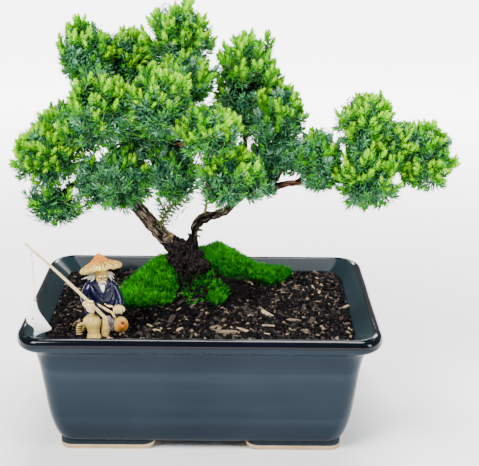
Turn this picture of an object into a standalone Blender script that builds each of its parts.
"""A juniper bonsai in a rectangular glazed pot, with moss and a small clay fisherman.

Everything is modelled about the pot's centre, with the pot's feet on z = 0, in metres.
One empty then puts the whole plant where its own box is centred over the origin.
"""
import math
import random

import bmesh
import bpy
from mathutils import Matrix, Vector, noise
from mathutils.bvhtree import BVHTree

# Where the pot's centre stands in the finished part, and the gap between touching pieces
POT_CENTRE_X = -0.0121
POT_CENTRE_Y = -0.0011
GAP = 0.0003
MERGE = 0.0000002

# Pot: outer size over the rim, corner radius of the rim, and its feet
POT_LENGTH = 0.152
POT_WIDTH = 0.115
POT_HEIGHT = 0.0572
RIM_RADIUS = 0.009
CORNER_STEPS = 3
SIDE_LEAN = 0.15
FOOT_HEIGHT = 0.0028
FOOT_INSET = 0.0178
FOOT_RING_WIDTH = 0.009
FOOT_GAP_LONG = 0.039
FOOT_GAP_SHORT = 0.026

# Soil: level at the rim, and the mound that the trunk stands on
SOIL_LEVEL = 0.0520
MOUND_TOP = 0.0662
MOUND_X = -0.003
MOUND_Y = 0.017
MOUND_REACH_LEFT = 0.036
MOUND_REACH_RIGHT = 0.038
MOUND_REACH_FRONT = 0.019
MOUND_REACH_BACK = 0.030
MOUND_FLAT = 0.30

# Needle sprays of the foliage, made larger than life
SPRAY_LENGTH = 0.0085
SPRAY_CORE = 0.0008
NEEDLE_LENGTH = 0.0030
TWIG_RADIUS = 0.00055
STEM_RADIUS = 0.0009
SPACE_MARGIN = 0.06
CORE_SPIKES = 0.78
CORE_LUMPS = 0.16
LIMB_MARGIN = 0.0005


def clear_scene():
    for item in list(bpy.data.objects):
        bpy.data.objects.remove(item, do_unlink=True)


def make_material(name, colour, roughness, metallic=0.0):
    material = bpy.data.materials.new(name)
    material.use_nodes = True
    shader = material.node_tree.nodes["Principled BSDF"]
    shader.inputs["Base Color"].default_value = (*colour, 1.0)
    shader.inputs["Roughness"].default_value = roughness
    shader.inputs["Metallic"].default_value = metallic
    material.diffuse_color = (*colour, 1.0)
    return material


def add_object(name, mesh, material=None, smooth=False):
    piece = bpy.data.objects.new(name, mesh)
    bpy.context.scene.collection.objects.link(piece)
    piece.parent = POT_CENTRE
    if material:
        mesh.materials.append(material)
    if smooth:
        mesh.shade_smooth()
        mesh.set_sharp_from_angle(angle=math.radians(40))
    return piece


def mesh_from(bm):
    bmesh.ops.recalc_face_normals(bm, faces=bm.faces)
    mesh = bpy.data.meshes.new("shape")
    bm.to_mesh(mesh)
    bm.free()
    return mesh


def hide_as_tool(piece):
    piece.hide_render = True
    piece.display_type = "WIRE"
    return piece


def join_rings(bm, rings, capped=True):
    loops = [[bm.verts.new(point) for point in ring] for ring in rings]
    count = len(loops[0])
    for lower, upper in zip(loops, loops[1:]):
        for i in range(count):
            j = (i + 1) % count
            bm.faces.new((lower[i], lower[j], upper[j], upper[i]))
    if capped:
        bm.faces.new(reversed(loops[0]))
        bm.faces.new(loops[-1])
    return loops


def boolean(piece, operation, other=None, collection=None):
    step = piece.modifiers.new(operation.title(), "BOOLEAN")
    step.operation = operation
    step.solver = "EXACT"
    if collection:
        step.operand_type = "COLLECTION"
        step.collection = collection
    else:
        step.object = other
    return step


def baked_mesh(piece):
    graph = bpy.context.evaluated_depsgraph_get()
    return bpy.data.meshes.new_from_object(piece.evaluated_get(graph))


def point_on_curve(a, b, c, d, t):
    return 0.5 * (2 * b + (c - a) * t + (2 * a - 5 * b + 4 * c - d) * t ** 2 + (3 * b - a - 3 * c + d) * t ** 3)


# Pot

def rounded_outline(half_x, half_y, radius, z):
    points = []
    corners = ((1, 1, 0.0), (-1, 1, 0.5), (-1, -1, 1.0), (1, -1, 1.5))
    for sign_x, sign_y, turn in corners:
        for step in range(CORNER_STEPS + 1):
            angle = math.pi * (turn + 0.5 * step / CORNER_STEPS)
            x = sign_x * (half_x - radius) + radius * math.cos(angle)
            y = sign_y * (half_y - radius) + radius * math.sin(angle)
            points.append(Vector((x, y, z)))
    return points


def pot_outline(inset, z):
    half_x = POT_LENGTH / 2 - inset
    half_y = POT_WIDTH / 2 - inset * (1.0 + SIDE_LEAN * (1.0 - z / POT_HEIGHT))
    return rounded_outline(half_x, half_y, max(RIM_RADIUS - 0.15 * inset, 0.004), z)


# Each pair is the distance in from the rim's edge and the height, from the base up and over
OUTER_PROFILE = (
    (0.0205, 0.0028), (0.0176, 0.0028), (0.0160, 0.0040), (0.0138, 0.0072), (0.0119, 0.0120),
    (0.0106, 0.0180), (0.0093, 0.0280), (0.0080, 0.0380), (0.0068, 0.0440), (0.0060, 0.0475),
    (0.0052, 0.0500), (0.0034, 0.0514), (0.0010, 0.0524), (0.0001, 0.0536), (0.0000, 0.0550),
    (0.0007, 0.0564), (0.0022, POT_HEIGHT),
)
INNER_PROFILE = (
    (0.0034, 0.0568), (0.0100, 0.0526), (0.0107, 0.0510), (0.0118, 0.0400), (0.0145, 0.0200),
    (0.0175, 0.0110), (0.0200, 0.0080),
)


def pot_body():
    bm = bmesh.new()
    rings = [pot_outline(inset, z) for inset, z in OUTER_PROFILE + INNER_PROFILE]
    join_rings(bm, rings)
    return mesh_from(bm)


def foot_ring():
    bm = bmesh.new()
    inner = FOOT_INSET + FOOT_RING_WIDTH
    top = FOOT_HEIGHT + 0.0012
    rings = [
        pot_outline(FOOT_INSET + 0.0004, 0.0),
        pot_outline(FOOT_INSET, top),
        pot_outline(inner - 0.0004, top),
        pot_outline(inner, 0.0),
    ]
    loops = join_rings(bm, rings, capped=False)
    for i in range(len(loops[0])):
        j = (i + 1) % len(loops[0])
        bm.faces.new((loops[3][i], loops[3][j], loops[0][j], loops[0][i]))
    return mesh_from(bm)


def box_mesh(size_x, size_y, size_z, centre):
    bm = bmesh.new()
    bmesh.ops.create_cube(bm, size=1.0)
    bmesh.ops.scale(bm, vec=(size_x, size_y, size_z), verts=bm.verts)
    bmesh.ops.translate(bm, vec=centre, verts=bm.verts)
    return mesh_from(bm)


def make_pot():
    feet = hide_as_tool(add_object("foot_ring_tool", foot_ring()))
    arch_z = (0, 0, FOOT_HEIGHT / 2 - 0.0006)
    tall = FOOT_HEIGHT + 0.0012
    long_gap = hide_as_tool(add_object("long_gap_tool", box_mesh(FOOT_GAP_LONG, 0.2, tall, arch_z)))
    short_gap = hide_as_tool(add_object("short_gap_tool", box_mesh(0.2, FOOT_GAP_SHORT, tall, arch_z)))
    boolean(feet, "DIFFERENCE", long_gap)
    boolean(feet, "DIFFERENCE", short_gap)
    glaze = make_material("slate_glaze", (0.045, 0.065, 0.085), 0.2)
    pot = add_object("pot", pot_body(), glaze, smooth=True)
    boolean(pot, "UNION", feet)


# Soil and moss

def mound_height(x, y):
    reach_x = MOUND_REACH_RIGHT if x > MOUND_X else MOUND_REACH_LEFT
    reach_y = MOUND_REACH_BACK if y > MOUND_Y else MOUND_REACH_FRONT
    far = math.hypot((x - MOUND_X) / reach_x, (y - MOUND_Y) / reach_y)
    ramp = min(max((far - MOUND_FLAT) / (1.0 - MOUND_FLAT), 0.0), 1.0)
    share = 1.0 - ramp * ramp * (3.0 - 2.0 * ramp)
    return (MOUND_TOP - SOIL_LEVEL) * share


def soil_height(x, y):
    bumps = 0.0005 * noise.noise(Vector((x, y, 0.0)) * 160.0)
    rise = mound_height(x, y)
    return min(SOIL_LEVEL + rise + bumps, MOUND_TOP)


def soil_outline(inset, z):
    return pot_outline(inset + 0.00035, z)


SOIL_RINGS = 7


def with_midpoints(ring):
    """Adds two points to each straight side of a rounded outline."""
    corner = CORNER_STEPS + 1
    fuller = []
    for i, point in enumerate(ring):
        fuller.append(point)
        if i % corner == CORNER_STEPS:
            after = ring[(i + 1) % len(ring)]
            fuller.extend((point.lerp(after, 1 / 3), point.lerp(after, 2 / 3)))
    return fuller


def soil_rings():
    below = [soil_outline(inset, z) for inset, z in reversed(INNER_PROFILE[2:])]
    rings = [[point + Vector((0, 0, GAP)) for point in with_midpoints(ring)] for ring in below[:-1]]
    edge = with_midpoints(soil_outline(INNER_PROFILE[2][0], SOIL_LEVEL))
    rings.append([point - Vector((0, 0, 0.0012)) for point in edge])
    rings.append(edge)
    centre = Vector((MOUND_X, MOUND_Y, 0.0))
    for step in range(1, SOIL_RINGS):
        spots = [point.lerp(centre, (step / SOIL_RINGS) ** 0.75) for point in edge]
        rings.append([Vector((spot.x, spot.y, soil_height(spot.x, spot.y))) for spot in spots])
    return rings


def soil_mesh():
    bm = bmesh.new()
    join_rings(bm, soil_rings())
    bmesh.ops.triangulate(bm, faces=bm.faces)
    return mesh_from(bm)


def make_soil():
    earth = make_material("bark_soil", (0.030, 0.022, 0.016), 0.95)
    add_object("soil", soil_mesh(), earth)


# Moss cushions: outline points on the ground, and the cushion's thickness
MOSS_CUSHIONS = {
    "moss_left": (((-0.040, 0.001), (-0.033, -0.006), (-0.023, -0.006), (-0.0135, 0.001), (-0.0115, 0.010),
                   (-0.017, 0.022), (-0.026, 0.027), (-0.036, 0.018)), 0.0058),
    "moss_right": (((0.0045, 0.0120), (0.0150, 0.0100), (0.0280, 0.0190), (0.0400, 0.0360), (0.0370, 0.0435),
                    (0.0200, 0.0440), (0.0020, 0.0330), (-0.0050, 0.0270)), 0.0080),
    "moss_front": (((0.0005, 0.0030), (0.0050, -0.0020), (0.0105, 0.0010), (0.0110, 0.0065), (0.0045, 0.0075)),
                   0.0030),
}
MOSS_STEPS = 2
MOSS_SIDES = 12


def closed_curve(points, count):
    total = len(points)
    curve = []
    for i in range(count):
        place = i * total / count
        k = int(place)
        t = place - k
        corners = [Vector(points[(k + n) % total]) for n in (-1, 0, 1, 2)]
        curve.append(point_on_curve(*corners, t))
    return curve


def ground_spot(ground, spot):
    """The point of the soil's surface straight under a spot."""
    return ground.ray_cast(Vector((spot.x, spot.y, 0.2)), Vector((0, 0, -1)))[0]


def moss_mesh(points, thickness, ground):
    edge = closed_curve(points, MOSS_SIDES)
    centre = sum(edge, Vector((0, 0))) / len(edge)
    bm = bmesh.new()
    rings = [[ground_spot(ground, p) - Vector((0, 0, 0.0020)) for p in edge]]
    for step in range(MOSS_STEPS + 1):
        share = step / (MOSS_STEPS + 0.6)
        ring = []
        for p in edge:
            q = p.lerp(centre, share)
            dome = thickness * (0.45 + 0.55 * math.sin(share * math.pi / 2) ** 0.6)
            dome *= 1.0 + 0.25 * noise.noise(Vector((q.x, q.y, thickness)) * 200.0)
            ring.append(ground_spot(ground, q) + Vector((0, 0, dome)))
        rings.append(ring)
    join_rings(bm, rings)
    bmesh.ops.triangulate(bm, faces=bm.faces)
    return mesh_from(bm)


def make_moss(cutters):
    raised = soil_mesh()
    raised.transform(Matrix.Translation((0, 0, 0.0004)))
    bm = bmesh.new()
    bm.from_mesh(raised)
    ground = BVHTree.FromBMesh(bm)
    bm.free()
    tool = add_object("raised_soil", raised)
    cutters.objects.link(tool)
    green = make_material("moss", (0.04, 0.26, 0.01), 0.9)
    for name, (points, thickness) in MOSS_CUSHIONS.items():
        blank = add_object("blank", moss_mesh(points, thickness, ground))
        boolean(blank, "DIFFERENCE", collection=cutters)
        mesh = baked_mesh(blank)
        bpy.data.objects.remove(blank)
        keep_largest(mesh)
        add_object(name, mesh, green)
    bpy.data.objects.remove(tool)


# Trunk and boughs: each point of a route is x, y, z and the radius of the wood there
TRUNK_ROUTE = (
    (-0.0060, 0.0150, 0.0665, 0.0086), (-0.0066, 0.0150, 0.0682, 0.0070), (-0.0080, 0.0150, 0.0706, 0.0062),
    (-0.0105, 0.0150, 0.0733, 0.0052), (-0.0148, 0.0150, 0.0764, 0.0039), (-0.0196, 0.0150, 0.0807, 0.0031),
    (-0.0267, 0.0130, 0.0902, 0.0031), (-0.0332, 0.0120, 0.0994, 0.0029), (-0.0352, 0.0120, 0.1060, 0.0027),
    (-0.0339, 0.0120, 0.1105, 0.0024), (-0.0290, 0.0130, 0.1190, 0.0021), (-0.0231, 0.0140, 0.1293, 0.0018),
    (-0.0168, 0.0150, 0.1405, 0.0015), (-0.0124, 0.0160, 0.1524, 0.0012), (-0.0097, 0.0165, 0.1650, 0.0009),
)
RIGHT_LIMB_ROUTE = (
    (-0.0052, 0.0155, 0.0725, 0.0020), (-0.0048, 0.0165, 0.0762, 0.0019), (-0.0046, 0.0170, 0.0807, 0.0016),
    (-0.0036, 0.0170, 0.0843, 0.0021), (-0.0014, 0.0170, 0.0870, 0.0023), (0.0016, 0.0160, 0.0888, 0.0023),
    (0.0055, 0.0150, 0.0901, 0.0020), (0.0098, 0.0135, 0.0925, 0.0019), (0.0132, 0.0120, 0.0961, 0.0017),
    (0.0170, 0.0107, 0.1003, 0.0016),
)
RIGHT_BOUGH_ROUTE = (
    (0.0163, 0.0109, 0.0995, 0.0015), (0.0210, 0.0095, 0.1032, 0.0016), (0.0266, 0.0080, 0.1045, 0.0015),
    (0.0319, 0.0070, 0.1055, 0.0016), (0.0385, 0.0060, 0.1076, 0.0014), (0.0499, 0.0040, 0.1082, 0.0013),
    (0.0620, 0.0020, 0.1105, 0.0012), (0.0740, 0.0000, 0.1140, 0.0011), (0.0860, 0.0000, 0.1175, 0.0009),
)

# Side boughs: the limb each leaves, how far along it, where its tip lies, and its radius at the root
SIDE_BOUGHS = {
    "left_low_bough": ("trunk", 0.470, (-0.0560, 0.0100, 0.1095), 0.0016),
    "left_mid_bough": ("trunk", 0.520, (-0.0535, 0.0185, 0.1235), 0.0014),
    "front_left_bough": ("trunk", 0.560, (-0.0400, 0.0000, 0.1340), 0.0014),
    "front_mid_bough": ("trunk", 0.650, (-0.0200, 0.0000, 0.1400), 0.0013),
    "upper_left_bough": ("trunk", 0.715, (-0.0455, 0.0210, 0.1520), 0.0013),
    "upper_mid_bough": ("trunk", 0.780, (-0.0290, 0.0245, 0.1510), 0.0011),
    "upper_right_bough": ("trunk", 0.675, (0.0110, 0.0175, 0.1400), 0.0015),
    "centre_bough": ("trunk", 0.540, (-0.0030, -0.0080, 0.1280), 0.0014),
    "back_left_bough": ("trunk", 0.585, (-0.0420, 0.0330, 0.1260), 0.0014),
    "back_mid_bough": ("trunk", 0.620, (-0.0200, 0.0345, 0.1310), 0.0014),
    "back_right_bough": ("right_limb", 0.880, (0.0180, 0.0310, 0.1260), 0.0014),
    "centre_low_bough": ("right_limb", 0.740, (0.0110, -0.0045, 0.1075), 0.0013),
    "right_mid_bough": ("right_bough", 0.200, (0.0365, 0.0100, 0.1290), 0.0011),
    "outer_top_bough": ("right_bough", 0.560, (0.0670, -0.0010, 0.1280), 0.0010),
}
STEPS_PER_SPAN = 2


def smooth_route(route):
    points = [Vector(point) for point in route]
    ends = [2 * points[0] - points[1]] + points + [2 * points[-1] - points[-2]]
    smooth = []
    for a, b, c, d in zip(ends, ends[1:], ends[2:], ends[3:]):
        smooth.extend(point_on_curve(a, b, c, d, step / STEPS_PER_SPAN) for step in range(STEPS_PER_SPAN))
    smooth.append(points[-1])
    return smooth


def bent_route(start, middle, end, radius, tip_radius, steps):
    route = []
    for step in range(steps + 1):
        t = step / steps
        spot = start * (1 - t) ** 2 + middle * 2 * t * (1 - t) + end * t ** 2
        route.append(Vector((*spot, radius + (tip_radius - radius) * t)))
    return route


def station(route, share):
    """The point, direction and radius at a share of a route's length."""
    lengths = [(b.xyz - a.xyz).length for a, b in zip(route, route[1:])]
    left = share * sum(lengths)
    for a, b, length in zip(route, route[1:], lengths):
        if left <= length:
            spot = a.lerp(b, left / length)
            return spot.xyz, (b.xyz - a.xyz).normalized(), spot.w
        left -= length
    return route[-1].xyz, (route[-1].xyz - route[-2].xyz).normalized(), route[-1].w


def tube_rings(route, sides, knobs=0.0, extra=0.0, flare=0.0):
    rings = []
    side = Vector((0.0, 1.0, 0.0))
    count = len(route)
    for i, point in enumerate(route):
        ahead = route[min(i + 1, count - 1)].xyz - route[max(i - 1, 0)].xyz
        if i == 0 and flare:
            ahead = Vector((0, 0, 1))
        ahead.normalize()
        side = (side - ahead * side.dot(ahead)).normalized()
        other = ahead.cross(side)
        centre = point.xyz
        if i == 0:
            centre = centre - ahead * extra
        if i == count - 1:
            centre = centre + ahead * extra
        ring = []
        for k in range(sides):
            angle = 2 * math.pi * k / sides
            out = side * math.cos(angle) + other * math.sin(angle)
            bump = 1.0 + knobs * noise.noise((point.xyz + out * point.w) * 420.0)
            if flare:
                bump += flare * math.exp(-i / 1.5) * math.sin(angle * 4 + 0.6)
            ring.append(centre + out * (point.w * bump + extra))
        rings.append(ring)
    return rings


def tube_mesh(route, sides, **shape):
    bm = bmesh.new()
    join_rings(bm, tube_rings(route, sides, **shape))
    return mesh_from(bm)


LIMB_LOOKS = {
    "trunk": (8, 0.22, 0.10),
    "right_limb": (6, 0.22, 0.0),
    "right_bough": (6, 0.16, 0.0),
}
BOUGH_LOOKS = (5, 0.10, 0.0)


def limb_routes():
    routes = {
        "trunk": smooth_route(TRUNK_ROUTE),
        "right_limb": smooth_route(RIGHT_LIMB_ROUTE),
        "right_bough": smooth_route(RIGHT_BOUGH_ROUTE),
    }
    for name, (carrier, share, tip, radius) in SIDE_BOUGHS.items():
        start, along, _ = station(routes[carrier], share)
        end = Vector(tip)
        reach = (end - start).length
        middle = start + along * reach * 0.25 + (end - start) * 0.35 - Vector((0, 0, 0.06 * reach))
        steps = max(3, round(reach / 0.007))
        routes[name] = bent_route(start, middle, end, radius, 0.55 * radius + 0.0002, steps)
    return routes


def limb_mesh(name, route, extra=0.0):
    sides, knobs, flare = LIMB_LOOKS.get(name, BOUGH_LOOKS)
    return tube_mesh(route, sides, knobs=knobs, extra=extra, flare=flare)


def make_limbs(routes):
    bark = make_material("bark", (0.16, 0.11, 0.075), 0.85)
    carriers = {name: carrier for name, (carrier, *_) in SIDE_BOUGHS.items()}
    carriers["right_limb"] = "trunk"
    carriers["right_bough"] = "right_limb"
    for name, route in routes.items():
        mesh = limb_mesh(name, route)
        if name in carriers:
            blank = add_object("blank", mesh)
            tool = add_object("tool", limb_mesh(carriers[name], routes[carriers[name]], extra=GAP))
            boolean(blank, "DIFFERENCE", tool)
            mesh = baked_mesh(blank)
            bpy.data.objects.remove(blank)
            bpy.data.objects.remove(tool)
            keep_largest(mesh)
        add_object(name, mesh, bark, smooth=True)


# Foliage: centre, half sizes, the limb each mass grows from, how far along it, and its kind
MASSES = {
    "left_drop": ((-0.0670, 0.0080, 0.0955), (0.0150, 0.0096, 0.0102), "left_low_bough", 0.8, "loose"),
    "left_low_pad": ((-0.0698, 0.0100, 0.1183), (0.0166, 0.0135, 0.0148), "left_low_bough", 1.0, "pad"),
    "left_inner_twigs": ((-0.0464, 0.0080, 0.1040), (0.0095, 0.0086, 0.0100), "left_low_bough", 0.45, "loose"),
    "left_mid_pad": ((-0.0612, 0.0200, 0.1283), (0.0156, 0.0139, 0.0131), "left_mid_bough", 1.0, "pad"),
    "front_left_pad": ((-0.0432, -0.0080, 0.1422), (0.0150, 0.0150, 0.0177), "front_left_bough", 1.0, "pad"),
    "front_mid_pad": ((-0.0179, -0.0120, 0.1462), (0.0146, 0.0144, 0.0169), "front_mid_bough", 1.0, "pad"),
    "upper_left_pad": ((-0.0522, 0.0220, 0.1620), (0.0130, 0.0135, 0.0152), "upper_left_bough", 1.0, "pad"),
    "upper_mid_pad": ((-0.0334, 0.0300, 0.1593), (0.0133, 0.0144, 0.0136), "upper_mid_bough", 1.0, "pad"),
    "top_pad": ((-0.0103, 0.0180, 0.1698), (0.0161, 0.0161, 0.0165), "trunk", 1.0, "pad"),
    "inner_top_pad": ((-0.0085, 0.0060, 0.1540), (0.0150, 0.0118, 0.0118), "trunk", 0.86, "pad"),
    "upper_right_pad": ((0.0194, 0.0180, 0.1501), (0.0167, 0.0161, 0.0248), "upper_right_bough", 1.0, "pad"),
    "right_mid_pad": ((0.0350, 0.0120, 0.1381), (0.0151, 0.0147, 0.0137), "right_mid_bough", 1.0, "pad"),
    "centre_pad": ((0.0027, -0.0170, 0.1361), (0.0146, 0.0144, 0.0113), "centre_bough", 1.0, "pad"),
    "centre_low_pad": ((0.0124, -0.0150, 0.1160), (0.0166, 0.0128, 0.0152), "centre_low_bough", 1.0, "pad"),
    "inner_left_pad": ((-0.0340, -0.0010, 0.1112), (0.0125, 0.0118, 0.0150), "trunk", 0.46, "pad"),
    "inner_mid_pad": ((-0.0135, 0.0010, 0.1130), (0.0123, 0.0118, 0.0128), "trunk", 0.55, "pad"),
    "arch_twigs": ((0.0300, 0.0090, 0.1190), (0.0112, 0.0096, 0.0118), "right_bough", 0.14, "loose"),
    "bough_near_pad": ((0.0499, 0.0000, 0.1252), (0.0107, 0.0139, 0.0205), "right_bough", 0.36, "pad"),
    "bough_top_pad": ((0.0706, -0.0028, 0.1370), (0.0144, 0.0137, 0.0128), "outer_top_bough", 1.0, "pad"),
    "bough_low_pad": ((0.0720, -0.0060, 0.1162), (0.0163, 0.0128, 0.0178), "right_bough", 0.7, "pad"),
    "bough_end_pad": ((0.0965, 0.0000, 0.1212), (0.0140, 0.0135, 0.0164), "right_bough", 1.0, "pad"),
    "back_left_pad": ((-0.0462, 0.0440, 0.1359), (0.0180, 0.0150, 0.0193), "back_left_bough", 1.0, "pad"),
    "back_mid_pad": ((-0.0189, 0.0450, 0.1400), (0.0161, 0.0150, 0.0182), "back_mid_bough", 1.0, "pad"),
    "back_right_pad": ((0.0199, 0.0420, 0.1380), (0.0180, 0.0150, 0.0182), "back_right_bough", 1.0, "pad"),
    "fork_twig": ((-0.0120, 0.0090, 0.0960), (0.0118, 0.0075, 0.0139), "trunk", 0.19, "twig"),
    "limb_twig": ((-0.0014, 0.0145, 0.0975), (0.0037, 0.0048, 0.0070), "right_limb", 0.42, "twig"),
}
# For each kind: how many twigs, sprays on each twig, tiers of needles on a spray, size of the core
KINDS = {
    "pad": (7, 1, 1, 0.76),
    "loose": (5, 2, 2, 0.0),
    "twig": (1, 3, 2, 0.0),
}


def lattice(count, seed):
    """Directions spread evenly over a sphere, a little shaken."""
    shake = random.Random(seed)
    golden = math.pi * (3.0 - math.sqrt(5.0))
    for i in range(count):
        z = 1.0 - 2.0 * (i + 0.5) / count
        angle = i * golden + seed
        flat = math.sqrt(1.0 - z * z)
        jolt = Vector((shake.uniform(-1, 1), shake.uniform(-1, 1), shake.uniform(-1, 1))) * 0.18
        yield (Vector((flat * math.cos(angle), flat * math.sin(angle), z)) + jolt).normalized()


def scaled(direction, half):
    return Vector((direction.x * half[0], direction.y * half[1], direction.z * half[2]))


def how_far(point, centre, half):
    offset = point - Vector(centre)
    return math.sqrt(sum((offset[k] / half[k]) ** 2 for k in range(3)))


def in_space(point, name):
    centre, half = MASSES[name][:2]
    own = how_far(point, centre, half)
    if own > 1.04:
        return False
    for other, (other_centre, other_half, *_) in MASSES.items():
        if other != name and how_far(point, other_centre, other_half) < own + SPACE_MARGIN:
            return False
    return True


def distance_to_route(point, route):
    nearest = 1.0
    for a, b in zip(route, route[1:]):
        span = b.xyz - a.xyz
        t = min(max((point - a.xyz).dot(span) / span.length_squared, 0.0), 1.0)
        gap = (point - a.xyz - span * t).length - (a.w + (b.w - a.w) * t)
        nearest = min(nearest, gap)
    return nearest


def spray_mesh(root, tip, tiers, turn):
    """A slim core of three sides whose faces are drawn out into needles."""
    axis = (tip - root).normalized()
    side = axis.orthogonal().normalized()
    other = axis.cross(side)
    length = (tip - root).length
    bm = bmesh.new()
    loops = []
    for tier in range(tiers + 1):
        share = 0.72 * tier / tiers
        ring = []
        for k in range(3):
            angle = turn + 2 * math.pi * (k + 0.5 * tier) / 3
            out = side * math.cos(angle) + other * math.sin(angle)
            ring.append(bm.verts.new(root + axis * length * share + out * SPRAY_CORE))
        loops.append(ring)
    end = bm.verts.new(tip)
    bm.faces.new(reversed(loops[0]))
    for lower, upper in zip(loops, loops[1:]):
        for k in range(3):
            bm.faces.new((lower[k], lower[(k + 1) % 3], upper[k]))
            draw_needle(bm, (lower[(k + 1) % 3], upper[(k + 1) % 3], upper[k]), root, axis)
    for k in range(3):
        bm.faces.new((loops[-1][k], loops[-1][(k + 1) % 3], end))
    return mesh_from(bm)


def draw_needle(bm, corners, root, axis):
    middle = sum((corner.co for corner in corners), Vector()) / 3
    out = middle - root - axis * (middle - root).dot(axis)
    point = bm.verts.new(middle + (out.normalized() * 0.75 + axis * 0.65) * NEEDLE_LENGTH)
    for k in range(3):
        bm.faces.new((corners[k], corners[(k + 1) % 3], point))


def keep_largest(mesh):
    """Drops loose scraps and fills sealed hollows by keeping only the largest shell."""
    bm = bmesh.new()
    bm.from_mesh(mesh)
    left = set(bm.verts)
    shells = []
    while left:
        shell = {left.pop()}
        edge_of_walk = list(shell)
        while edge_of_walk:
            for edge in edge_of_walk.pop().link_edges:
                for vert in edge.verts:
                    if vert in left:
                        left.discard(vert)
                        shell.add(vert)
                        edge_of_walk.append(vert)
        shells.append(shell)
    largest = max(shells, key=shell_size)
    spare = [vert for shell in shells if shell is not largest for vert in shell]
    bmesh.ops.delete(bm, geom=spare, context="VERTS")
    bmesh.ops.remove_doubles(bm, verts=bm.verts, dist=MERGE)
    bm.to_mesh(mesh)
    bm.free()


def shell_size(shell):
    low = [min(vert.co[k] for vert in shell) for k in range(3)]
    high = [max(vert.co[k] for vert in shell) for k in range(3)]
    return sum(high[k] - low[k] for k in range(3))


def core_mesh(name, share, seed, obstacles):
    """A lumpy core, with most of its faces drawn out into pointed sprays."""
    centre, half = MASSES[name][:2]
    centre = Vector(centre)
    shake = random.Random(seed)
    bm = bmesh.new()
    bmesh.ops.create_icosphere(bm, subdivisions=2, radius=1.0)
    for vert in bm.verts:
        reach = share * (1.0 + CORE_LUMPS * noise.noise(vert.co * 2.0 + Vector((seed, 0, 0))))
        vert.co = pulled_in(name, centre, scaled(vert.co, half), reach)
    for face in list(bm.faces):
        if shake.random() < CORE_SPIKES:
            middle = face.calc_center_median()
            heading = (middle - centre).normalized() + Vector((0, 0, 0.25))
            out = Vector([heading[k] * half[k] for k in range(3)]) * shake.uniform(0.20, 0.34)
            tip = middle + out
            if in_space(tip, name) and is_clear(tip, obstacles):
                bmesh.ops.poke(bm, faces=[face])["verts"][0].co = tip
    return mesh_from(bm)


def pulled_in(name, centre, offset, reach):
    while not in_space(centre + offset * reach, name) and reach > 0.12:
        reach *= 0.94
    return centre + offset * reach


def stem_route(name, routes):
    centre, half, limb, share, kind = MASSES[name]
    start, along, radius = station(routes[limb], share)
    start = start - along * (0.0010 if share == 1.0 else 0.0)
    end = Vector(centre)
    if kind == "twig":
        end = end + scaled(Vector((0.55, -0.3, 0.55)), half)
    middle = start.lerp(end, 0.45) + along * 0.2 * (end - start).length
    return bent_route(start, middle, end, min(STEM_RADIUS, 0.8 * radius), 0.7 * STEM_RADIUS, 3)


def twig_routes(name, stem, seed):
    """Twigs that spread from the stem towards an even lattice of directions."""
    centre, half, _, _, kind = MASSES[name]
    for i, direction in enumerate(lattice(KINDS[kind][0], seed)):
        start, along, _ = station(stem, 0.35 + 0.6 * (i % 4) / 3)
        end = Vector(centre) + scaled(direction, half) * 0.62
        middle = start.lerp(end, 0.5) - Vector((0, 0, 0.10 * half[2]))
        yield bent_route(start, middle, end, TWIG_RADIUS * 1.3, TWIG_RADIUS, 2)


def pad_spans(name, seed):
    """Root inside the core and tip on the mass's outline, for each spray of a dense pad."""
    centre, half, _, _, kind = MASSES[name]
    count, _, _, core_share = KINDS[kind]
    shake = random.Random(seed)
    for direction in lattice(count, seed):
        root = Vector(centre) + scaled(direction, half) * (core_share - 0.16)
        tip = Vector(centre) + scaled(direction, half) * shake.uniform(0.95, 1.03) + Vector((0, 0, 0.0006))
        yield root, tip


def twig_spans(name, twig, seed):
    """Root and tip of each spray on one twig, fanned about the twig's end."""
    centre, _, _, _, kind = MASSES[name]
    shake = random.Random(seed)
    for i in range(KINDS[kind][1]):
        root, along, _ = station(twig, 1.0 - 0.3 * i)
        outward = (root - Vector(centre)).normalized()
        turn = 2.4 * i + seed
        side = along.orthogonal().normalized()
        fan = side * math.cos(turn) + along.cross(side) * math.sin(turn)
        heading = along * (1.0 if i == 0 else 0.4) + fan * (0.15 if i == 0 else 0.9) + outward * 0.5
        heading = (heading + Vector((0, 0, 0.35))).normalized()
        yield root - heading * 0.0012, root + heading * SPRAY_LENGTH * shake.uniform(0.85, 1.1)


def fitted_spray(name, root, tip, tiers, turn, obstacles):
    """The spray, shortened until it keeps to its own space and clear of limbs, or nothing."""
    for shrink in (1.0, 0.8, 0.62):
        shape = spray_mesh(root, root.lerp(tip, shrink), tiers, turn)
        outer = [vert.co for vert in shape.vertices if (vert.co - root).length > 0.0025]
        inside = all(in_space(spot, name) for spot in outer)
        if inside and all(is_clear(spot, obstacles) for spot in outer):
            return shape
    return None


def is_clear(spot, obstacles):
    return all(distance_to_route(spot, route) > LIMB_MARGIN for route in obstacles)


def mass_mesh(name, stem, seed, obstacles, cutters):
    kind = MASSES[name][4]
    _, _, tiers, core_share = KINDS[kind]
    parts = [tube_mesh(stem, 4)]
    spans = []
    if kind == "pad":
        parts.append(core_mesh(name, core_share, seed, obstacles))
        spans = list(pad_spans(name, seed))
    elif kind == "twig":
        spans = list(twig_spans(name, stem, seed))
    else:
        for i, twig in enumerate(twig_routes(name, stem, seed)):
            inside = all(in_space(point.xyz, name) for point in twig[1:])
            if inside and all(is_clear(point.xyz, obstacles) for point in twig[1:]):
                parts.append(tube_mesh(twig, 3))
                spans.extend(twig_spans(name, twig, seed * 31 + i))
    for i, (root, tip) in enumerate(spans):
        spray = fitted_spray(name, root, tip, tiers, seed + i, obstacles)
        if spray:
            parts.append(spray)
    return fused(parts, cutters)


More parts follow.
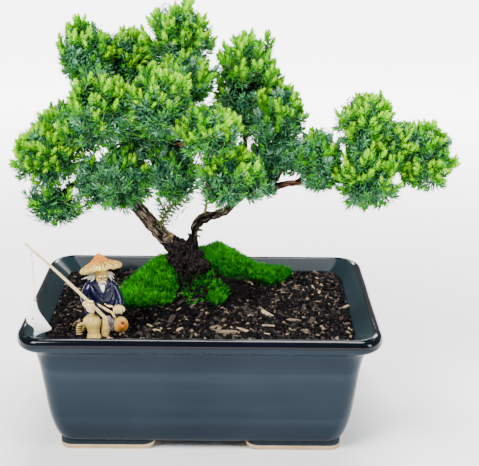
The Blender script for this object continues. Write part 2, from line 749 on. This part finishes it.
def nearby_tools(name, routes, stems):
    """Fat copies of the limbs and of other masses' stems that pass close to a mass."""
    centre = Vector(MASSES[name][0])
    reach = max(MASSES[name][1]) * 1.3
    tools = []
    for limb, route in routes.items():
        if limb == MASSES[name][2] or distance_to_route(centre, route) < reach:
            tools.append(limb_mesh(limb, route, extra=GAP))
    for other, route in stems.items():
        if other != name and distance_to_route(centre, route) < reach:
            tools.append(tube_mesh(route, 5, extra=GAP))
    return tools


def make_foliage(routes):
    leaf = make_material("juniper_needles", (0.10, 0.36, 0.06), 0.6)
    stems = {name: stem_route(name, routes) for name in MASSES}
    for seed, name in enumerate(MASSES, start=1):
        obstacles = list(routes.values()) + [route for other, route in stems.items() if other != name]
        mesh = mass_mesh(name, stems[name], seed, obstacles, nearby_tools(name, routes, stems))
        add_object(name, mesh, leaf)


# Clay fisherman, rod, line and fish: sizes are half widths unless they say otherwise
SEAT_Z = SOIL_LEVEL + 0.00075
CLAY = (0.62, 0.50, 0.30)
ROD_LOW = Vector((-0.0392, -0.0415, 0.0606))
ROD_TIP = Vector((-0.0708, -0.0460, 0.0946))
ROD_RADIUS = 0.00085
ROD_TIP_RADIUS = 0.00050
HEAD_CENTRE = Vector((-0.0418, -0.0340, 0.0766))
HEAD_HALF = (0.0026, 0.0027, 0.0034)
HAT_CENTRE = Vector((-0.0423, -0.0322, 0.0796))
HAT_TILT = math.radians(-10.5)
ROD_HAND = Vector((-0.0447, -0.0423, 0.0667))
FREE_HAND = Vector((-0.0345, -0.0362, 0.0632))
JUG_CENTRE = Vector((-0.0336, -0.0360, SEAT_Z + 0.0036))
FISH_CENTRE = Vector((-0.0683, -0.0472, 0.0630))
FISH_THICKNESS = 0.0014
LINE_RADIUS = 0.00025


def ball(centre, half, extra=0.0):
    bm = bmesh.new()
    bmesh.ops.create_uvsphere(bm, u_segments=8, v_segments=6, radius=1.0)
    bmesh.ops.scale(bm, vec=[size + extra for size in half], verts=bm.verts)
    bmesh.ops.translate(bm, vec=centre, verts=bm.verts)
    return mesh_from(bm)


def stack(levels, extra=0.0, sides=10):
    """A closed body through level ovals: centre x, y, height, half width, half depth."""
    bm = bmesh.new()
    rings = []
    for number, (x, y, z, half_x, half_y) in enumerate(levels):
        if number in (0, len(levels) - 1):
            z += extra if number else -extra
        angles = [2 * math.pi * k / sides for k in range(sides)]
        rings.append([
            Vector((x + (half_x + extra) * math.cos(a), y + (half_y + extra) * math.sin(a), z)) for a in angles
        ])
    join_rings(bm, rings)
    return mesh_from(bm)


def spun(profile, centre, turn, steps=14):
    """Turns a closed half profile of radius and height about an axis through the centre."""
    bm = bmesh.new()
    verts = [bm.verts.new((radius, 0.0, height)) for radius, height in profile]
    edges = [bm.edges.new(pair) for pair in zip(verts, verts[1:])]
    bmesh.ops.spin(bm, geom=verts + edges, cent=(0, 0, 0), axis=(0, 0, 1), angle=2 * math.pi, steps=steps,
                   use_merge=True)
    bmesh.ops.remove_doubles(bm, verts=bm.verts, dist=MERGE)
    bmesh.ops.transform(bm, matrix=Matrix.Translation(centre) @ turn, verts=bm.verts)
    return mesh_from(bm)


def fused(meshes, cutters=()):
    union = bpy.data.collections.new("union")
    tools = bpy.data.collections.new("tools")
    blank = add_object("blank", meshes[0])
    for mesh in meshes[1:]:
        union.objects.link(add_object("part", mesh))
    for mesh in cutters:
        tools.objects.link(add_object("cutter", mesh))
    if len(meshes) > 1:
        boolean(blank, "UNION", collection=union)
    if cutters:
        boolean(blank, "DIFFERENCE", collection=tools)
    mesh = baked_mesh(blank)
    for piece in [blank, *union.objects, *tools.objects]:
        bpy.data.objects.remove(piece)
    bpy.data.collections.remove(union)
    bpy.data.collections.remove(tools)
    keep_largest(mesh)
    return mesh


def rod_mesh(extra=0.0):
    route = bent_route(ROD_LOW, (ROD_LOW + ROD_TIP) / 2 + Vector((0, 0, 0.0006)), ROD_TIP,
                       ROD_RADIUS, ROD_TIP_RADIUS, 6)
    return tube_mesh(route, 6, extra=extra)


def torso(extra=0.0):
    x, y = -0.0420, -0.0312
    return stack((
        (x, y, SEAT_Z, 0.0066, 0.0045), (x, y, SEAT_Z + 0.0040, 0.0074, 0.0050),
        (x, y, SEAT_Z + 0.0100, 0.0074, 0.0051), (x, y, SEAT_Z + 0.0150, 0.0070, 0.0048),
        (x, y, SEAT_Z + 0.0190, 0.0062, 0.0042), (x, y - 0.0006, SEAT_Z + 0.0217, 0.0046, 0.0034),
        (x, y - 0.0012, SEAT_Z + 0.0232, 0.0024, 0.0024),
    ), extra)


def sleeve(shoulder, elbow, cuff):
    return tube_mesh(bent_route(shoulder, elbow, cuff, 0.0023, 0.0021, 3), 7)


def head_parts(extra=0.0):
    beard = stack((
        (-0.0409, -0.0372, 0.0708, 0.0004, 0.0003), (-0.0412, -0.0369, 0.0728, 0.0013, 0.0009),
        (-0.0415, -0.0362, 0.0748, 0.0019, 0.0013), (-0.0417, -0.0350, 0.0768, 0.0016, 0.0012),
    ), extra, sides=8)
    return [ball(HEAD_CENTRE, HEAD_HALF, extra), beard]


def leg_parts(extra=0.0):
    x, y = -0.0444, -0.0410
    shin = stack((
        (x, y - 0.0006, SEAT_Z, 0.0025, 0.0030), (x, y - 0.0003, SEAT_Z + 0.0015, 0.0025, 0.0027),
        (x, y, SEAT_Z + 0.0035, 0.0023, 0.0022), (x, y, SEAT_Z + 0.0070, 0.0030, 0.0027),
        (x, y, SEAT_Z + 0.0092, 0.0031, 0.0028), (x, y + 0.0002, SEAT_Z + 0.0104, 0.0018, 0.0017),
    ), extra, sides=10)
    second = stack((
        (-0.0401, -0.0386, SEAT_Z, 0.0020, 0.0024), (-0.0401, -0.0386, SEAT_Z + 0.0040, 0.0021, 0.0022),
        (-0.0401, -0.0384, SEAT_Z + 0.0078, 0.0012, 0.0014),
    ), extra, sides=8)
    thigh = tube_mesh(bent_route(Vector((x, -0.0400, 0.0600)), Vector((x, -0.0370, 0.0600)),
                                 Vector((-0.0438, -0.0330, 0.0590)), 0.0026, 0.0028, 2), 8, extra=extra)
    return [shin, second, thigh]


def hat_mesh():
    profile = (
        (0.0, 0.0062), (0.0012, 0.0058), (0.0034, 0.0038), (0.0062, 0.0016), (0.0088, 0.0003),
        (0.0091, -0.0004), (0.0086, -0.0008), (0.0060, 0.0000), (0.0032, 0.0010), (0.0, 0.0013),
    )
    return spun(profile, HAT_CENTRE, Matrix.Rotation(HAT_TILT, 4, "Y"))


def jug_mesh(extra=0.0):
    profile = (
        (0.0, 0.0036), (0.0016, 0.0036), (0.0019, 0.0027), (0.0033, 0.0012), (0.0035, -0.0008), (0.0027, -0.0028),
        (0.0, -0.0034),
    )
    grown = [(radius + (extra if radius else 0.0), height + math.copysign(extra, height)) for radius, height in profile]
    return spun(grown, JUG_CENTRE, Matrix.Rotation(math.radians(62), 4, "X") @ Matrix.Rotation(0.4, 4, "Y"), steps=12)


def fish_mesh():
    outline = ((1.2, 6.7), (1.7, 3.8), (7.0, -4.8), (-0.1, -8.0), (-0.1, -4.2), (-2.8, -2.0), (-3.2, 1.8), (-1.0, 5.2))
    bm = bmesh.new()
    back = FISH_CENTRE + Vector((0, FISH_THICKNESS / 2, 0))
    face = bm.faces.new([bm.verts.new(back + Vector((x, 0, z)) * 0.001) for x, z in outline])
    front = bmesh.ops.extrude_face_region(bm, geom=[face])
    moved = [item for item in front["geom"] if isinstance(item, bmesh.types.BMVert)]
    bmesh.ops.translate(bm, vec=(0, -FISH_THICKNESS, 0), verts=moved)
    bmesh.ops.bevel(bm, geom=bm.edges, offset=0.0003, affect="EDGES", segments=1, profile=0.5, material=-1)
    return mesh_from(bm)


def make_line(colour):
    rod_point = ROD_LOW.lerp(ROD_TIP, 0.93)
    top = rod_point - Vector((0, 0, ROD_RADIUS + GAP))
    bottom = FISH_CENTRE + Vector((0.0010, 0, 0.0067 + GAP))
    curve = bpy.data.curves.new("fishing_line", "CURVE")
    curve.dimensions = "3D"
    curve.bevel_depth = LINE_RADIUS
    curve.bevel_resolution = 2
    curve.use_fill_caps = True
    count = 10
    spline = curve.splines.new("POLY")
    spline.points.add(count)
    for i, point in enumerate(spline.points):
        point.co = (*top.lerp(bottom, i / count), 1.0)
    curve.materials.append(colour)
    line = bpy.data.objects.new("fishing_line", curve)
    bpy.context.scene.collection.objects.link(line)
    line.parent = POT_CENTRE


def make_fisherman():
    clay = make_material("bare_clay", CLAY, 0.8)
    blue = make_material("blue_glaze", (0.02, 0.03, 0.10), 0.25)
    straw = make_material("straw_hat", (0.75, 0.35, 0.12), 0.7)
    bamboo = make_material("bamboo", (0.78, 0.68, 0.42), 0.6)
    white = make_material("white_glaze", (0.85, 0.85, 0.85), 0.25)
    hand_size = (0.0019, 0.0018, 0.0026)
    free_size = (0.0026, 0.0018, 0.0020)
    cuff = Vector((0.0, 0.0020, 0.0004))
    robe = [
        torso(),
        sleeve(Vector((-0.0470, -0.0312, 0.0720)), Vector((-0.0500, -0.0350, 0.0680)), ROD_HAND + cuff),
        sleeve(Vector((-0.0370, -0.0312, 0.0720)), Vector((-0.0335, -0.0320, 0.0670)), FREE_HAND + cuff),
        ball(Vector((-0.0387, -0.0368, 0.0570)), (0.0015, 0.0022, 0.0032)),
    ]
    others = [
        *head_parts(GAP), *leg_parts(GAP), jug_mesh(GAP), ball(ROD_HAND, hand_size, GAP),
        ball(FREE_HAND, free_size, GAP), rod_mesh(GAP),
    ]
    add_object("fisher_robe", fused(robe, others), blue, smooth=True)
    add_object("fisher_head", fused(head_parts()), clay, smooth=True)
    add_object("fisher_hat", fused([hat_mesh()], [ball(HEAD_CENTRE, HEAD_HALF, GAP)]), straw, smooth=True)
    add_object("fisher_legs", fused(leg_parts(), [rod_mesh(GAP), torso(GAP)]), clay, smooth=True)
    add_object("fisher_foot", ball(Vector((-0.0512, -0.0378, SEAT_Z + 0.0022)), (0.0014, 0.0026, 0.0022)), clay)
    add_object("fisher_rod_hand", fused([ball(ROD_HAND, hand_size)], [rod_mesh(GAP)]), clay, smooth=True)
    add_object("fisher_free_hand", ball(FREE_HAND, free_size), clay, smooth=True)
    add_object("fisher_jug", jug_mesh(), clay, smooth=True)
    add_object("fishing_rod", rod_mesh(), bamboo, smooth=True)
    add_object("hanging_fish", fish_mesh(), white)
    make_line(white)


clear_scene()
POT_CENTRE = bpy.data.objects.new("pot_centre", None)
bpy.context.scene.collection.objects.link(POT_CENTRE)
make_pot()
make_soil()
ROUTES = limb_routes()
make_limbs(ROUTES)
moss_cutters = bpy.data.collections.new("moss_cutters")
trunk_tool = add_object("trunk_tool", limb_mesh("trunk", ROUTES["trunk"], extra=GAP))
moss_cutters.objects.link(trunk_tool)
limb_tool = add_object("limb_tool", limb_mesh("right_limb", ROUTES["right_limb"], extra=GAP))
moss_cutters.objects.link(limb_tool)
make_moss(moss_cutters)
bpy.data.objects.remove(trunk_tool)
bpy.data.objects.remove(limb_tool)
bpy.data.collections.remove(moss_cutters)
make_foliage(ROUTES)
make_fisherman()
POT_CENTRE.location = (POT_CENTRE_X, POT_CENTRE_Y, 0.0)
